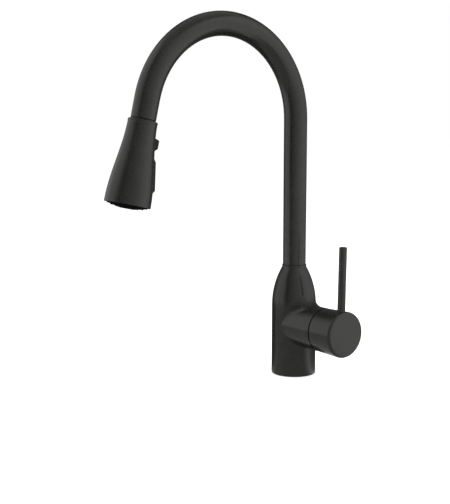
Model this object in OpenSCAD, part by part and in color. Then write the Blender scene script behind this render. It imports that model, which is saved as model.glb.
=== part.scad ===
// Pull down kitchen faucet for one deck hole: an upright body with a side lever,
// a tall gooseneck that turns on the body, and a spray head that pulls down on its hose.
//
// Millimetres. z = 0 is the top of the deck and +z is up. The gooseneck reaches towards -y
// and the lever hub points towards +x. The gooseneck's riser stands on the z axis.

/* [Body] */
// Diameter of the upright body
body_d = 54.2; // [52:0.1:60]
// Height where the body starts to taper towards the neck
shoulder_z = 86; // [84:0.5:96]
// Height where the taper meets the neck
taper_top_z = 132.6; // [126:0.1:140]
// Height of the short straight neck above the taper
neck_h = 2.6; // [1.5:0.1:8]
// Diameter of the neck
neck_d = 29.8; // [29.2:0.1:34]
// Bevel round the foot of the body
foot_bevel = 0.5; // [0.3:0.1:2]
// Diameter of the passage that the hose runs through
passage_d = 15; // [13:0.1:18]
// Reach of the blend between the shoulder and the top of the side branch
saddle_reach = 19; // [8:0.5:20]

/* [Side branch and cartridge] */
// Height of the lever axis above the deck
branch_z = 62.2; // [58:0.1:70]
// Diameter of the side branch and of the lever hub
branch_d = 52.7; // [50:0.1:56]
// Distance from the riser's axis to the seam in front of the hub
branch_reach = 56; // [53:0.1:70]
// How much larger the dome's radius is than the branch's radius
dome_step = 3.65; // [3:0.05:6]
// Thickness of the dome's shell
bonnet_wall = 2; // [1.2:0.1:3]
// Depth of the shadow groove between the branch and the hub
groove_depth = 1.2; // [0.3:0.1:1.8]
// Outer diameter of the ceramic cartridge
cartridge_d = 34.8; // [33:0.1:35.4]
// Depth from the lever's pivot to the cartridge's base
pivot_depth = 23.8; // [22.8:0.1:26]
// Wall of the cartridge's housing
cartridge_wall = 2; // [1.6:0.1:2.4]
// Diameter of the turning lever carrier
carrier_d = 22.1; // [20.5:0.1:23]
// Width of the square lever stem
stem_w = 8; // [7:0.1:9]
// Diameter of the pin that the stem tilts on
stem_pin_d = 3; // [2:0.1:3.6]
// Greatest outward tilt of the lever, in degrees
lever_tilt = 22; // [15:1:25]

/* [Lever] */
// Length of the hub from the seam to its end face
hub_len = 35.8; // [33.5:0.1:45]
// Diameter of the hub at its end face
hub_end_d = 55; // [51:0.1:57]
// Radius of the rounded edge of the hub's end face
hub_edge_r = 3.2; // [0.6:0.1:4]
// Diameter of the lever rod
rod_d = 9.3; // [7:0.1:12]
// Height of the rod's top above the deck
rod_top_z = 165.3; // [130:0.1:200]
// Distance from the rod's axis to the hub's end face
rod_inset = 8.8; // [6.2:0.1:12]
// Outward lean of the rod, in degrees
rod_lean = 1.1; // [0:0.1:5]
// Diameter of the set screw that clamps the hub on the stem
set_screw_d = 5; // [4:0.5:6]

/* [Gooseneck] */
// Outer diameter of the gooseneck tube
tube_d = 28; // [27:0.1:29]
// Wall of the gooseneck tube
tube_wall = 1.2; // [1:0.05:1.5]
// Radius of the bend, to the middle of the tube
bend_r = 108.4; // [90:0.1:130]
// Height where the bend starts
bend_z = 311.8; // [260:0.1:360]
// Angle of the bend, in degrees
bend_angle = 166.54; // [150:0.1:175]
// Straight end of the tube after the bend
spout_tail = 23.3; // [23:0.1:40]
// Dark gap between the neck and the tube
spout_seam = 0.6; // [0.5:0.05:1.5]
// Thickness of the docking bush's flange under the tube's end
bush_flange = 1; // [0.6:0.1:1.6]
// Depth of the spout's socket below the neck's top
socket_depth = 43; // [38:0.5:44]
// Outer diameter of the swivel stem
swivel_stem_d = 23; // [21:0.1:23.4]
// Wall of the swivel stem
swivel_stem_wall = 3; // [2.4:0.1:3.2]
// Wall of the two swivel bushes
bush_wall = 0.9; // [0.8:0.05:1.1]
// Height of each swivel bush
bush_h = 10; // [6:0.5:11]

/* [Pull hose] */
// Outer diameter of the pull hose
hose_d = 11; // [10:0.1:11.4]
// Diameter of the spigot on the hose's lower end
hose_spigot_d = 10; // [8:0.1:11]
// Length of that spigot
hose_spigot_l = 16; // [12:0.5:25]

/* [Spray head] */
// Length of the spray head
head_len = 93; // [92.5:0.5:110]
// Diameter at the top of the head
head_top_d = 32.4; // [31.6:0.1:35]
// Diameter at the rim of the head
head_rim_d = 51.2; // [48:0.1:58]
// Wall of the head's shell
head_wall = 2.2; // [1.6:0.1:2.4]
// Height of the ring on top of the head
top_ring_h = 2.6; // [1.6:0.1:4]
// Diameter of the spigot that docks in the gooseneck
dock_d = 20.8; // [19.8:0.1:21.2]
// How far the docking spigot reaches into the gooseneck
dock_len = 15.6; // [12:0.1:16.4]
// How far the face ring stands out of the rim
face_ring_proud = 1.2; // [0.4:0.1:1.6]
// How far the middle of the spray face stands out of the rim
face_proud = 4; // [2.6:0.1:6]
// Number of nozzles in the inner and in the outer ring
nozzle_counts = [16, 24]; // [8:4:24]

/* [Buttons] */
// Distance from the head's top to the pause button's upper edge
pause_drop = 16.8; // [16:0.1:18]
// Length of the pause button along the head
pause_len = 14.3; // [12:0.1:15]
// How far the pause button stands proud
pause_proud = 4.4; // [3:0.1:5]
// Travel of the pause button
pause_travel = 1.5; // [1:0.1:1.8]
// Distance from the head's top to the mode rocker's upper edge
rocker_drop = 37.7; // [36:0.1:38.4]
// Length of the mode rocker along the head
rocker_len = 39.1; // [35:0.1:39.8]
// How far the rocker's upper end stands proud
rocker_proud_top = 2.6; // [1.5:0.1:3.5]
// How far the rocker's lower end stands proud
rocker_proud_low = 3.7; // [2:0.1:4.4]
// Half of the rocker's swing, in degrees
rocker_swing = 4; // [2:0.5:5]
// Width of both buttons
button_w = 15; // [12:0.1:15.4]
// Diameter of the pin that the rocker turns on
rocker_pin_d = 2.4; // [2:0.1:2.6]

/* [Under the deck] */
// Thickness of the deck that the parts are shown clamped for
deck_t = 40; // [30:0.5:50]
// Outer diameter of the mounting shank
shank_d = 33; // [32:0.1:34]
// Wall of the mounting shank
shank_wall = 2; // [1.6:0.1:2.2]
// Depth of the shank's thread in the body
shank_seat = 12; // [8:0.5:16]
// Length of the shank below the deck's top
shank_len = 62; // [61:0.5:90]
// Outer diameter of the washers
washer_d = 56; // [50:0.5:64]
// Thickness of the rubber washer
rubber_washer_t = 3; // [2:0.1:5]
// Thickness of the steel washer
steel_washer_t = 2.5; // [1.5:0.1:4]
// Height of the lock nut
lock_nut_h = 12; // [8:0.5:14]
// Outer diameter of the lock nut
lock_nut_d = 54; // [51:0.5:60]
// Diameter of the clamp screws
clamp_screw_d = 5; // [4:0.5:6]
// Diameter of the supply ports
port_d = 7; // [6:0.1:7]
// Depth of the supply ports
port_depth = 12; // [8:0.5:16]

/* [Clearances] */
// Gap between pieces that move past each other
move_gap = 0.3; // [0.2:0.05:0.4]
// Radial clearance of a running fit
run_fit = 0.05; // [0.03:0.01:0.08]
// Radial clearance of a piece that is fixed in its seat
seat_fit = 0.05; // [0.02:0.01:0.1]

/* [Hidden] */

$fn = 96;

// Finishes
BLACK = [0.13, 0.13, 0.13];
DARK = [0.07, 0.07, 0.07];
BRASS = [0.72, 0.56, 0.30];
STEEL = [0.66, 0.67, 0.69];
PLASTIC = [0.82, 0.82, 0.80];
CERAMIC = [0.92, 0.91, 0.88];
RUBBER = [0.05, 0.05, 0.05];

// Body
body_r = body_d / 2;
neck_r = neck_d / 2;
neck_top_z = taper_top_z + neck_h;
taper_h = taper_top_z - shoulder_z;
taper_in = body_r - neck_r;
taper_r = (taper_h * taper_h + taper_in * taper_in) / (2 * taper_in);
saddle_span = 85;
saddle_dip = 0.05;
saddle_root = 3;

// Side branch, dome and pivot of the lever
branch_r = branch_d / 2;
dome_r = branch_r + dome_step;
cup_r = dome_r + move_gap;
pivot_x = branch_reach - sqrt(dome_r * dome_r - branch_r * branch_r);
dome_hole_r = dome_r * sin(lever_tilt) + stem_w * 0.66;
bonnet_rim_h = 1.5;
bonnet_seat_h = 6;
skirt_r = branch_r - 2.7;
skirt_wall = 2;
branch_end_x = branch_reach - bonnet_rim_h;

// Cartridge, measured from its base outwards
cartridge_r = cartridge_d / 2;
cartridge_x = pivot_x - pivot_depth;
cartridge_base_h = 3;
disc_h = 3;
driver_h = 4.5;
carrier_floor = cartridge_base_h + 2 * disc_h + driver_h + 0.5;
carrier_flange_h = 3.2;
housing_h = carrier_floor + carrier_flange_h + 2.8;
neck_wall = 2.8;
cartridge_neck_h = pivot_depth + 3.2;
carrier_h = cartridge_neck_h + 1;
carrier_r = carrier_d / 2;
cartridge_bore_r = cartridge_r - cartridge_wall;
neck_bore_r = carrier_r + run_fit;
ball_r = 2.7;
ball_depth = 11;
ball_travel = ball_depth * sin(lever_tilt);
disc_r = cartridge_bore_r - ball_travel - 0.9;
seal_ring_r = 9.2;
seal_r = 4.5;
seal_t = 1.2;
seal_bore_r = 2.8;
nut_r = 20.5;
nut_flange_h = 5;
nut_hex_h = 5;

// Lever
hub_end_x = branch_reach + hub_len;
hub_end_r = hub_end_d / 2;
hub_mouth_x = pivot_x + sqrt(cup_r * cup_r - branch_r * branch_r);
rod_x = hub_end_x - rod_inset;
rod_seat = 15;
stem_end_x = hub_end_x - 9.8;
set_screw_x = (pivot_x + cup_r + stem_end_x) / 2;
set_screw_l = 8;
plug_r = set_screw_d / 2 + 0.9;
plug_h = 4;

// Gooseneck
tube_r = tube_d / 2;
tube_bore_r = tube_r - tube_wall;
tube_z = neck_top_z + spout_seam;
spout_end = [0, bend_r * (cos(bend_angle) - 1), bend_z + bend_r * sin(bend_angle)];
tip_angle = bend_angle - 180;
tail_sizing = 0.02;
tail_lap = 0.5;
swivel_r = swivel_stem_d / 2;
socket_r = swivel_r + run_fit + bush_wall;
socket_z = neck_top_z - socket_depth;
swivel_top_h = 16;
ring_z = socket_z + 2;
ring_t = 1.2;
lower_bush_z = ring_z + ring_t + 2.4;
upper_bush_z = neck_top_z - bush_h - 3;
oring_r = 1;
oring_z = (lower_bush_z + bush_h + upper_bush_z) / 2;
oring_ring_r = socket_r - move_gap - oring_r;

// Pull hose
hose_r = hose_d / 2;
hose_top_t = 9.7;
hose_rise = 10;
hose_bottom_z = hose_rise - shank_len;
hose_sleeve_l = 10;
hose_stop_l = 8;
hose_sleeve_r = hose_r + 0.7;

// Spray head, measured along its axis from the end of the bend
head_t0 = spout_tail + bush_flange + move_gap;
head_t1 = head_t0 + head_len;
shell_t = head_t0 + top_ring_h;
head_top_r = head_top_d / 2;
head_rim_r = head_rim_d / 2;
shell_roof = 2.4;
ring_lip = 0.25;
dock_r = dock_d / 2;
dock_t = head_t0 - dock_len;
spigot_r = 9;
ferrule_r = hose_r + 0.8;
spigot_end_t = shell_t + shell_roof + 2.4;
core_r = 12.5;
core_flat_y = -11.8;
valve_r = 5;
valve_l = 15.4;
face_ring_h = 11;
face_ring_t = head_t1 - face_ring_h;
face_ring_wall = 1.9;
face_r = bell_r(face_ring_t) - head_wall - face_ring_wall - seat_fit;
face_edge_t = head_t1 + face_ring_proud - 0.2;
core_flange_h = 3;
core_flange_t = face_ring_t - core_flange_h - 0.2;
face_plate_h = 5;
face_dome_h = head_t1 + face_proud - face_edge_t;
face_dome_r = (face_r * face_r + face_dome_h * face_dome_h) / (2 * face_dome_h);
aerator_r = 9.2;
nozzle_ring_gap = 5.2;
nozzle_h = 0.5;

// Buttons, measured like the head
pause_t0 = head_t0 + pause_drop;
pause_t1 = pause_t0 + pause_len;
rocker_t0 = head_t0 + rocker_drop;
rocker_t1 = rocker_t0 + rocker_len;
rocker_t = (rocker_t0 + rocker_t1) / 2;
rocker_pin_y = -15.5;
rocker_boss_r = 3.1;
button_end_gap = 0.95;
button_side_gap = 0.5;
button_ramp = 4.4;
plunger_r = 2.5;
blank_margin = 10;
plunger_y = -6;
plunger_floor_y = -1;
lug_w = 1.8;
spring_wire_r = 0.35;
spring_turns = 5;

// Under the deck
shank_r = shank_d / 2;
shank_bore_r = shank_r - shank_wall;
thread_depth = 0.2;
seat_thread_in = 0.5;
shank_top_r = shank_r - seat_thread_in;
plain_len = deck_t - 2;
rubber_washer_z = -deck_t - rubber_washer_t;
steel_washer_z = rubber_washer_z - steel_washer_t;
lock_nut_z = steel_washer_z - lock_nut_h;
port_r = port_d / 2;
port_ring_r = shank_bore_r - port_r - 0.4;
port_angles = [-58, 0, 58];
low_passage_r = port_ring_r - port_r - 0.9;
inlet_top_z = shank_seat + port_depth;
screw_ring_r = (shank_r + lock_nut_d / 2) / 2;

// Gasket under the foot
gasket_t = 2;
gasket_land = 2.4;
gasket_in_r = shank_r + seat_fit;
gasket_out_r = body_r - foot_bevel - gasket_land;

// Points of an arc about c from angle a0 to a1
function arc(c, r, a0, a1, n) =
    [for (i = [0:n]) let (a = a0 + (a1 - a0) * i / n) [c[0] + r * cos(a), c[1] + r * sin(a)]];

// Radius of the bell at the distance t along the head: one soft S from the top to the rim
function bell_r(t) =
    head_top_r + (head_rim_r - head_top_r) * (1 - cos(180 * (t - head_t0) / head_len)) / 2;

// Points of the bell from t0 to t1, moved inwards by a wall
function bell(t0, t1, inward, n) =
    [for (i = [0:n]) let (t = t0 + (t1 - t0) * i / n) [bell_r(t) - inward, t]];

// Radius of the body at the height z, from the shoulder's arc
function body_r_at(z) =
    z <= shoulder_z ? body_r : body_r - taper_r + sqrt(taper_r * taper_r - (z - shoulder_z) ^ 2);

// Where the body's surface stands along x, at the distance rho from the lever's axis and
// the angle phi from its top
function saddle_x(rho, phi) =
    sqrt(max(body_r_at(branch_z + rho * cos(phi)) ^ 2 - (rho * sin(phi)) ^ 2, 0));

// One section of the saddle at the angle phi: a curve that leaves the branch along its
// surface and runs into the body's, closed by a root inside both. It is shorter down the sides.
function saddle_section(phi, n) =
    let (
        leg = saddle_reach * cos(90 * phi / saddle_span) ^ 2 + saddle_dip,
        corner = [saddle_x(branch_r, phi), branch_r],
        low = corner + [leg, -saddle_dip],
        high = [saddle_x(branch_r + leg, phi) - saddle_dip, branch_r + leg],
        curve = [for (i = [0:n]) let (u = i / n) (1 - u) ^ 2 * low + 2 * u * (1 - u) * corner + u ^ 2 * high],
        section = concat(curve, [corner - [saddle_root, saddle_root]])
    )
    [for (q = section) [q[0], q[1] * sin(phi), branch_z + q[1] * cos(phi)]];

// Turns the z axis into the lever's axis; z then counts from the riser's axis outwards
module on_branch() translate([0, 0, branch_z]) rotate([0, 90, 0]) children();

// Turns the z axis into the head's axis; z then counts downwards from the end of the bend
module on_head() translate(spout_end) rotate([tip_angle + 180, 0, 0]) children();

// A tube from z0 to z1
module pipe(r_out, r_in, z0, z1) {
    translate([0, 0, z0]) difference() {
        cylinder(r = r_out, h = z1 - z0);
        translate([0, 0, -1]) cylinder(r = r_in, h = z1 - z0 + 2);
    }
}

// A rod from z0 to z1
module rod(r, z0, z1) translate([0, 0, z0]) cylinder(r = r, h = z1 - z0);

// A rod that follows the gooseneck, from z0 on the riser to the distance t after the bend.
// Its straight end is sized a touch slimmer than the bend, and starts inside it.
module gooseneck_rod(r, z0, t) {
    rod(r, z0, bend_z);
    translate([0, -bend_r, bend_z]) rotate([90, 0, 90])
        rotate_extrude(angle = bend_angle) translate([bend_r, 0]) circle(r = r);
    on_head() rod(r - tail_sizing, -tail_lap, t);
}

// ---- Body ----

module body_outline() {
    sweep = asin(taper_h / taper_r);
    polygon(concat(
        [[0, 0], [body_r - foot_bevel, 0], [body_r, foot_bevel]],
        arc([body_r - taper_r, shoulder_z], taper_r, 0, sweep, 16),
        [[neck_r, neck_top_z], [0, neck_top_z]]
    ));
}

// Soft saddle between the body's shoulder and the top of the branch; it dies away at its sides
module saddle() {
    n = 8;
    rows = 34;
    size = n + 2;
    sections = [for (k = [0:rows]) saddle_section(saddle_span * (2 * k / rows - 1), n)];
    points = [for (row = sections) for (q = row) q];
    strips = [for (k = [0:rows - 1]) for (i = [0:size - 1]) let (j = (i + 1) % size)
        [k * size + i, k * size + j, (k + 1) * size + j, (k + 1) * size + i]];
    ends = [[for (i = [size - 1:-1:0]) i], [for (i = [0:size - 1]) rows * size + i]];
    polyhedron(points, concat(strips, ends));
}

// Stepped pocket for the cartridge, its nut and the bonnet's skirt
module cartridge_pocket() {
    on_branch() {
        rod(cartridge_r + 0.2, cartridge_x, branch_end_x + 1);
        rod(nut_r + seat_fit, cartridge_x + housing_h - 0.5, branch_end_x + 1);
        rod(skirt_r + seat_fit, branch_end_x - bonnet_seat_h, branch_end_x + 1);
    }
}

module valve_body() {
    color(BLACK) difference() {
        union() {
            rotate_extrude() body_outline();
            on_branch() rod(branch_r, 0, branch_end_x);
            saddle();
        }
        rod(shank_top_r + seat_fit, -1, inlet_top_z);
        rod(low_passage_r, inlet_top_z - 1, neck_top_z);
        rod(passage_d / 2, inlet_top_z + 2, neck_top_z);
        rod(socket_r, socket_z, neck_top_z + 1);
        rod(socket_r + 1.1, ring_z - 0.5, ring_z + ring_t + 0.5);
        rod(gasket_out_r, -1, gasket_t);
        cartridge_pocket();
    }
}

module base_gasket() {
    color(RUBBER) pipe(gasket_out_r - seat_fit, gasket_in_r + seat_fit, 0, gasket_t);
}

// Block with the three threaded ports, clamped in the body by the shank's top
module inlet_block() {
    color(BRASS) difference() {
        rod(shank_top_r, shank_seat, inlet_top_z);
        rod(low_passage_r, shank_seat - 1, inlet_top_z + 1);
        for (a = port_angles) rotate([0, 0, a]) translate([port_ring_r, 0, 0])
            rod(port_r, shank_seat - 1, inlet_top_z + 1);
    }
}

module mounting_shank() {
    r_low = shank_r - thread_depth;
    color(BRASS) rotate_extrude() polygon([
        [shank_bore_r, shank_seat],
        [shank_top_r, shank_seat],
        [shank_top_r, 0],
        [shank_r, 0],
        [shank_r, -plain_len],
        [r_low, -plain_len],
        [r_low, 1 - shank_len],
        [r_low - 1, -shank_len],
        [shank_bore_r, -shank_len]
    ]);
}

// ---- Cartridge ----

module at_ports() for (a = [90, 210, 330]) rotate([0, 0, a]) translate([seal_ring_r, 0, 0]) children();

module cartridge_base() {
    color(PLASTIC) on_branch() difference() {
        rod(cartridge_r, cartridge_x, cartridge_x + cartridge_base_h);
        at_ports() {
            rod(seal_r + seat_fit, cartridge_x - 1, cartridge_x + seal_t);
            rod(seal_bore_r, cartridge_x, cartridge_x + cartridge_base_h + 1);
        }
    }
}

module cartridge_seals() {
    color(RUBBER) on_branch() at_ports() pipe(seal_r, seal_bore_r, cartridge_x, cartridge_x + seal_t);
}

module cartridge_housing() {
    x0 = cartridge_x + cartridge_base_h;
    shoulder_x = cartridge_x + housing_h;
    roof_x = cartridge_x + carrier_floor + carrier_flange_h + 0.3;
    color(PLASTIC) on_branch() difference() {
        union() {
            rod(cartridge_r, x0, shoulder_x);
            rod(carrier_r + neck_wall, x0, cartridge_x + cartridge_neck_h);
        }
        rod(cartridge_bore_r, x0 - 1, roof_x);
        rod(neck_bore_r, x0, cartridge_x + cartridge_neck_h + 1);
    }
}

module fixed_disc() {
    x0 = cartridge_x + cartridge_base_h;
    color(CERAMIC) on_branch() difference() {
        rod(cartridge_bore_r - seat_fit, x0, x0 + disc_h);
        at_ports() rod(seal_bore_r, x0 - 1, x0 + disc_h + 1);
    }
}

module moving_disc() {
    x0 = cartridge_x + cartridge_base_h + disc_h;
    color(CERAMIC) on_branch() rod(disc_r, x0 + 0.05, x0 + disc_h);
}

module disc_driver() {
    x0 = cartridge_x + cartridge_base_h + 2 * disc_h;
    color(PLASTIC) on_branch() difference() {
        rod(disc_r, x0, x0 + driver_h);
        rod(ball_r + move_gap, x0 + 0.7, x0 + driver_h + 1);
    }
}

module lever_carrier() {
    x0 = cartridge_x + carrier_floor;
    slot_l = 2 * (ball_travel + stem_w / 2 + 0.3);
    color(PLASTIC) on_branch() difference() {
        union() {
            rod(carrier_r, x0, cartridge_x + carrier_h);
            rod(cartridge_bore_r - move_gap, x0, x0 + carrier_flange_h);
        }
        translate([-slot_l / 2, -stem_w / 2 - move_gap, x0 - 1])
            cube([slot_l, stem_w + 2 * move_gap, carrier_h]);
        translate([0, 0, pivot_x]) rotate([90, 0, 0])
            cylinder(r = stem_pin_d / 2 + seat_fit / 2, h = 2 * carrier_r + 2, center = true);
    }
}

module stem_pin() {
    color(STEEL) on_branch() translate([0, 0, pivot_x]) rotate([90, 0, 0])
        cylinder(r = stem_pin_d / 2, h = 2 * carrier_r - 1.4, center = true);
}

module cartridge_nut() {
    x0 = cartridge_x + housing_h;
    color(BRASS) on_branch() difference() {
        union() {
            rod(nut_r, x0, x0 + nut_flange_h);
            translate([0, 0, x0]) cylinder(r = nut_r - 0.6, h = nut_flange_h + nut_hex_h, $fn = 6);
        }
        rod(carrier_r + neck_wall + 0.2, x0 - 1, x0 + nut_flange_h + nut_hex_h + 1);
    }
}

// Dome that the hub's cup slides over, screwed into the end of the branch. Its rim lies
// below the branch's surface, so that a shadow groove parts the branch from the hub.
module bonnet() {
    inner_r = dome_r - bonnet_wall;
    skirt_in_r = skirt_r - skirt_wall;
    rim_r = branch_r - groove_depth;
    color(BLACK) on_branch() rotate_extrude() polygon(concat(
        [[skirt_in_r, branch_end_x - bonnet_seat_h], [skirt_r, branch_end_x - bonnet_seat_h],
         [skirt_r, branch_end_x], [rim_r, branch_end_x]],
        arc([0, pivot_x], dome_r, acos(rim_r / dome_r), acos(dome_hole_r / dome_r), 14),
        arc([0, pivot_x], inner_r, acos(dome_hole_r / inner_r), acos(skirt_in_r / inner_r), 6)
    ));
}

// ---- Lever ----

module lever_stem() {
    ball_x = pivot_x - ball_depth;
    square_x = pivot_x - 5;
    color(STEEL) on_branch() difference() {
        union() {
            translate([-stem_w / 2, -stem_w / 2, square_x]) cube([stem_w, stem_w, stem_end_x - square_x]);
            rod(2, ball_x, square_x + 1);
            translate([0, 0, ball_x]) sphere(r = ball_r);
        }
        translate([0, 0, pivot_x]) rotate([90, 0, 0])
            cylinder(r = stem_pin_d / 2 + run_fit, h = stem_w + 2, center = true);
    }
}

// Places children on the rod's own axis, which starts on the lever's axis
module on_rod() translate([rod_x, 0, branch_z]) rotate([0, rod_lean, 0]) children();

// Places children on the axis of the set screw, which points down from the lever's axis
module on_set_screw() on_branch() translate([0, 0, set_screw_x]) rotate([0, 90, 0]) children();

module handle_hub() {
    socket_w = stem_w + 2 * seat_fit;
    color(BLACK) difference() {
        on_branch() rotate_extrude() polygon(concat(
            arc([0, pivot_x], cup_r, 90, acos(branch_r / cup_r), 18),
            arc([hub_end_r - hub_edge_r, hub_end_x - hub_edge_r], hub_edge_r, 0, 90, 9),
            [[0, hub_end_x]]
        ));
        on_branch() translate([-socket_w / 2, -socket_w / 2, pivot_x])
            cube([socket_w, socket_w, stem_end_x + 0.5 - pivot_x]);
        on_rod() rod(rod_d / 2 + seat_fit, rod_seat, branch_r + 5);
        on_set_screw() {
            rod(set_screw_d / 2 + seat_fit, 0, hub_end_r + 1);
            rod(plug_r + seat_fit, branch_r - plug_h, hub_end_r + 1);
        }
    }
}

module hub_set_screw() {
    z0 = stem_w / 2;
    color(STEEL) on_set_screw() difference() {
        rod(set_screw_d / 2, z0, z0 + set_screw_l);
        translate([0, 0, z0 + set_screw_l - 3]) cylinder(d = set_screw_d * 0.55, h = 4, $fn = 6);
    }
}

module set_screw_plug() {
    color(DARK) intersection() {
        on_set_screw() rod(plug_r, branch_r - plug_h, hub_end_r + 1);
        on_branch() translate([0, 0, hub_mouth_x])
            cylinder(r1 = branch_r, r2 = hub_end_r, h = hub_end_x - hub_mouth_x);
    }
}

module lever_rod() {
    rod_r = rod_d / 2;
    top = (rod_top_z - branch_z) / cos(rod_lean);
    color(BLACK) on_rod() rotate_extrude() polygon([
        [0, rod_seat], [rod_r, rod_seat], [rod_r, top - 0.5], [rod_r - 0.5, top], [0, top]
    ]);
}

// ---- Gooseneck and its swivel ----

module gooseneck() {
    color(BLACK) difference() {
        gooseneck_rod(tube_r, tube_z, spout_tail);
        gooseneck_rod(tube_bore_r, tube_z - 1, spout_tail + 1);
    }
}

module spout_stem() {
    bore_r = swivel_r - swivel_stem_wall;
    top_z = tube_z + swivel_top_h;
    in_tube_r = tube_bore_r - seat_fit;
    color(BRASS) difference() {
        rotate_extrude() polygon([
            [bore_r, socket_z + 0.6], [swivel_r, socket_z + 0.6], [swivel_r, tube_z],
            [in_tube_r, tube_z], [in_tube_r, top_z], [bore_r + 1, top_z], [bore_r, top_z - 1]
        ]);
        pipe(swivel_r + 1, swivel_r - 1.1, ring_z - 0.1, ring_z + ring_t + 0.1);
        pipe(swivel_r + 1, oring_ring_r - oring_r - seat_fit, oring_z - oring_r - 0.2, oring_z + oring_r + 0.2);
    }
}

module swivel_bushes() {
    color(PLASTIC) for (z = [lower_bush_z, upper_bush_z])
        pipe(socket_r - seat_fit, swivel_r + run_fit, z, z + bush_h);
}

module swivel_oring() {
    color(RUBBER) translate([0, 0, oring_z]) rotate_extrude()
        translate([oring_ring_r, 0]) circle(r = oring_r);
}

module slip_washer() {
    color(DARK) pipe(tube_r + 0.2, swivel_r + move_gap, neck_top_z, tube_z - 0.1);
}

module retaining_ring() {
    color(STEEL) difference() {
        pipe(socket_r + 0.7, swivel_r - 1.05, ring_z, ring_z + ring_t);
        translate([0, -1.5, ring_z - 1]) cube([socket_r + 2, 3, ring_t + 2]);
    }
}

module dock_bush() {
    guide_r = hose_r + 0.9;
    mouth_r = dock_r + move_gap;
    step_t = dock_t - 1;
    end_t = spout_tail + bush_flange;
    color(DARK) on_head() rotate_extrude() polygon([
        [guide_r + 1.5, 0], [tube_bore_r - seat_fit, 0], [tube_bore_r - seat_fit, spout_tail],
        [tube_r - 0.8, spout_tail], [tube_r - 0.8, end_t], [mouth_r + 0.8, end_t],
        [mouth_r, end_t - 0.8], [mouth_r, step_t], [guide_r, step_t - 1.5], [guide_r, 1.5]
    ]);
}

// ---- Pull hose ----

module pull_hose() {
    color(DARK) gooseneck_rod(hose_r, hose_bottom_z, hose_top_t);
}

module hose_end_fitting() {
    stop_z = hose_bottom_z - hose_stop_l;
    tip_z = stop_z - hose_spigot_l;
    tip_r = hose_spigot_d / 2;
    color(BRASS) union() {
        pipe(hose_sleeve_r, hose_r + seat_fit, hose_bottom_z, hose_bottom_z + hose_sleeve_l);
        rod(hose_sleeve_r, stop_z, hose_bottom_z);
        rotate_extrude() polygon([[0, stop_z], [tip_r, stop_z], [tip_r, tip_z + 1], [tip_r - 1, tip_z], [0, tip_z]]);
    }
}

// ---- Spray head ----

// Slot from the back of the head through its shell, from t0 to t1
module button_window(t0, t1) {
    translate([-button_w / 2 - button_side_gap, -head_rim_r - 5, t0 - button_end_gap])
        cube([button_w + 2 * button_side_gap, head_rim_r - 3, t1 - t0 + 2 * button_end_gap]);
}

module head_shell() {
    color(BLACK) on_head() difference() {
        rotate_extrude() polygon(concat([[0, shell_t]], bell(shell_t, head_t1, 0, 22), [[0, head_t1]]));
        rotate_extrude() polygon(concat(
            [[0, shell_t + shell_roof]],
            bell(shell_t + shell_roof, head_t1, head_wall, 20),
            [[bell_r(head_t1) - head_wall, head_t1 + 1], [0, head_t1 + 1]]
        ));
        rod(spigot_r + seat_fit, shell_t - 1, shell_t + shell_roof + 1);
        button_window(pause_t0, pause_t1);
        button_window(rocker_t0, rocker_t1);
    }
}

module head_top_ring() {
    r_low = bell_r(shell_t);
    color(BLACK) on_head() rotate_extrude() polygon([
        [spigot_r + seat_fit, head_t0], [head_top_r - 1, head_t0], [head_top_r + ring_lip, head_t0 + 0.8],
        [r_low + ring_lip, shell_t - ring_lip], [r_low, shell_t], [spigot_r + seat_fit, shell_t]
    ]);
}

module inlet_spigot() {
    bore_r = ferrule_r + seat_fit;
    color(PLASTIC) on_head() rotate_extrude() polygon([
        [bore_r, dock_t], [dock_r - 1, dock_t], [dock_r, dock_t + 1], [dock_r, head_t0],
        [spigot_r, head_t0], [spigot_r, spigot_end_t], [valve_r + seat_fit, spigot_end_t],
        [valve_r + seat_fit, head_t0], [bore_r, head_t0]
    ]);
}

module hose_ferrule() {
    color(BRASS) on_head() rod(ferrule_r, hose_top_t + move_gap, head_t0 - 2);
}

module inlet_washer() {
    color(RUBBER) on_head() pipe(ferrule_r, 3.5, head_t0 - 2, head_t0);
}

module check_valve() {
    color(PLASTIC) on_head() rod(valve_r, head_t0, head_t0 + valve_l);
}

module valve_core() {
    lug_x = button_w / 2 + 0.4;
    lug_y = rocker_pin_y - 1.8;
    color(PLASTIC) on_head() difference() {
        union() {
            rod(core_r, spigot_end_t, core_flange_t + 1);
            rod(bell_r(core_flange_t) - head_wall - 0.4, core_flange_t, core_flange_t + core_flange_h);
            for (s = [-1, 1]) translate([s * (lug_x + lug_w / 2), lug_y / 2, rocker_t])
                cube([lug_w, -lug_y, 6], center = true);
        }
        difference() {
            translate([-head_rim_r, -head_rim_r, pause_t0 - 3])
                cube([2 * head_rim_r, head_rim_r + core_flat_y, core_flange_t - pause_t0 + 3]);
            for (s = [-1, 1]) translate([s * (lug_x + lug_w / 2), lug_y / 2, rocker_t])
                cube([lug_w, -lug_y, 6], center = true);
        }
        rod(valve_r + seat_fit, spigot_end_t - 1, head_t0 + valve_l);
        on_rocker_pin() cylinder(r = rocker_pin_d / 2 + seat_fit / 2, h = 2 * head_rim_r, center = true);
        on_plunger() rod(plunger_r + 2 * run_fit, -plunger_floor_y, head_rim_r);
    }
}

// Places children on the rocker pin's axis, inside the head's frame
module on_rocker_pin() translate([0, rocker_pin_y, rocker_t]) rotate([0, 90, 0]) children();

// Places children on the pause button's axis, inside the head's frame; z counts outwards
module on_plunger() translate([0, 0, (pause_t0 + pause_t1) / 2]) rotate([90, 0, 0]) children();

module rocker_pin() {
    color(STEEL) on_head() on_rocker_pin()
        cylinder(r = rocker_pin_d / 2, h = button_w + 0.8 + 2 * lug_w, center = true);
}

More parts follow.
